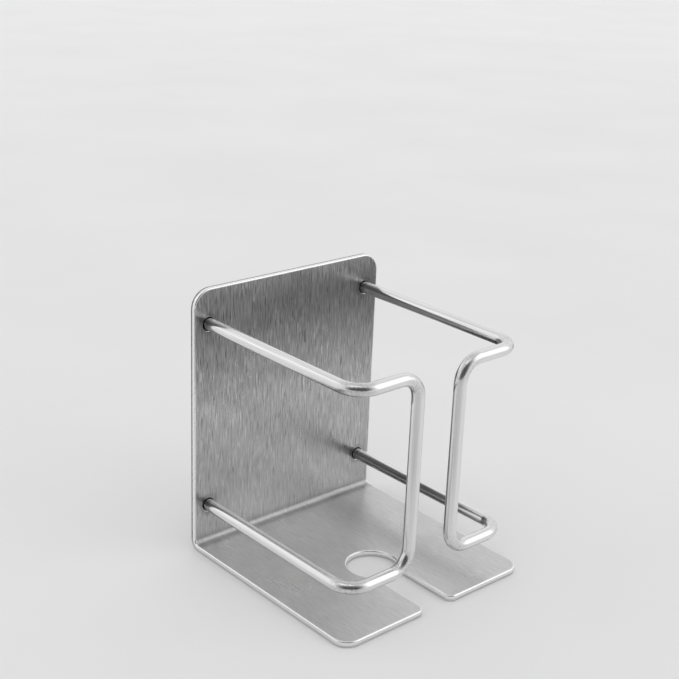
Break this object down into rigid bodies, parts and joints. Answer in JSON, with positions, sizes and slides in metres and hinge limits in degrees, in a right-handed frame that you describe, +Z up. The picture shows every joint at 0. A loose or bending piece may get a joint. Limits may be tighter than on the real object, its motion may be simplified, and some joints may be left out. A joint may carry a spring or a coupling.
{
  "type": "razor stand",
  "caption": "Wall-mounted razor stand: bent steel bracket with a keyhole shelf, side guards of bent wire and a foam mounting pad.",
  "frame": {"origin": "centre of the foam pad's face that meets the wall, which is also mid-height of the back plate", "axes": "+X to the right as a person faces the wall, +Y into the wall, +Z up"},
  "size_m": [0.072, 0.0736, 0.0844],
  "materials": {
    "brushed_sheet": "brushed, with polished edges",
    "wire": "satin, nearly polished",
    "weld": "welded and wire-brushed",
    "foam": "matt closed-cell foam tape"
  },
  "bodies": {
    "root": {"bracket": "brushed_sheet", "guard_left": "wire", "guard_right": "wire", "weld_upper_left": "weld", "weld_upper_right": "weld", "weld_lower_left": "weld", "weld_lower_right": "weld", "foam_pad": "foam"}
  },
  "joints": []
}
